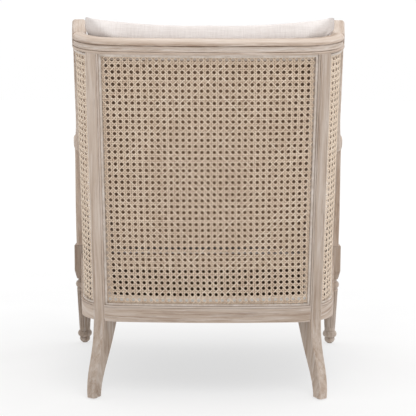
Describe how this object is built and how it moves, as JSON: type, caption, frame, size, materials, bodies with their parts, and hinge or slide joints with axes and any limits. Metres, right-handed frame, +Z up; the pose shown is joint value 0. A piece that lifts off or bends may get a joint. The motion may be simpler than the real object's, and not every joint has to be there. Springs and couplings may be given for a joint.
{
  "type": "club chair",
  "caption": "Wide club chair with a raked horseshoe frame, woven cane back and sides, sabre rear legs, turned fluted front legs and loose seat and back cushions.",
  "frame": {"origin": "centre of the footprint, on the floor", "axes": "+Z up, the chair faces -Y, +X towards the sitter's left hand"},
  "size_m": [0.822, 0.7805, 0.9788],
  "materials": {
    "oak": "grey-washed oak, matt",
    "cane": "grey-washed woven cane",
    "reed": "grey-washed reed",
    "hidden_wood": "raw hardwood",
    "linen": "off-white linen",
    "webbing": "jute webbing",
    "deck_cloth": "plain pale deck cloth",
    "dust_cloth": "black dust cloth",
    "steel": "plated",
    "glide_nylon": "brown nylon"
  },
  "bodies": {
    "frame": {"arm_left": "oak", "arm_right": "oak", "arm_support_left": "oak", "arm_support_right": "oak", "back_cane_panel": "cane", "back_cane_spline": "reed", "back_rebate_strip": "oak", "back_seat_rail": "oak", "corner_block_screws": "steel", "corner_blocks": "hidden_wood", "crest_rail": "oak", "deck_cloth": "deck_cloth", "dust_cover": "dust_cloth", "floor_glides": "glide_nylon", "front_deck_cleat": "hidden_wood", "front_leg_left": "oak", "front_leg_right": "oak", "front_seat_rail": "oak", "rear_deck_cleat": "hidden_wood", "rear_leg_left": "oak", "rear_leg_right": "oak", "side_cane_panel_left": "cane", "side_cane_panel_right": "cane", "side_cane_spline_left": "reed", "side_cane_spline_right": "reed", "side_deck_cleat_left": "hidden_wood", "side_deck_cleat_right": "hidden_wood", "side_rebate_strip_left": "oak", "side_rebate_strip_right": "oak", "side_seat_rail_left": "oak", "side_seat_rail_right": "oak", "webbing_crosswise": "webbing", "webbing_lengthwise": "webbing", "wing_rail_left": "oak", "wing_rail_right": "oak"},
    "seat_cushion_body": {"seat_cushion": "linen"},
    "back_cushion_body": {"back_cushion": "linen"}
  },
  "joints": [
    {"name": "seat_cushion_draw", "type": "slide", "parent": "frame", "child": "seat_cushion_body", "axis": [0, -0.9974, 0.0719], "range_m": [0, 0.62]},
    {"name": "back_cushion_lift", "type": "slide", "parent": "frame", "child": "back_cushion_body", "axis": [0, 0.2011, 0.9796], "range_m": [0, 0.6]}
  ]
}
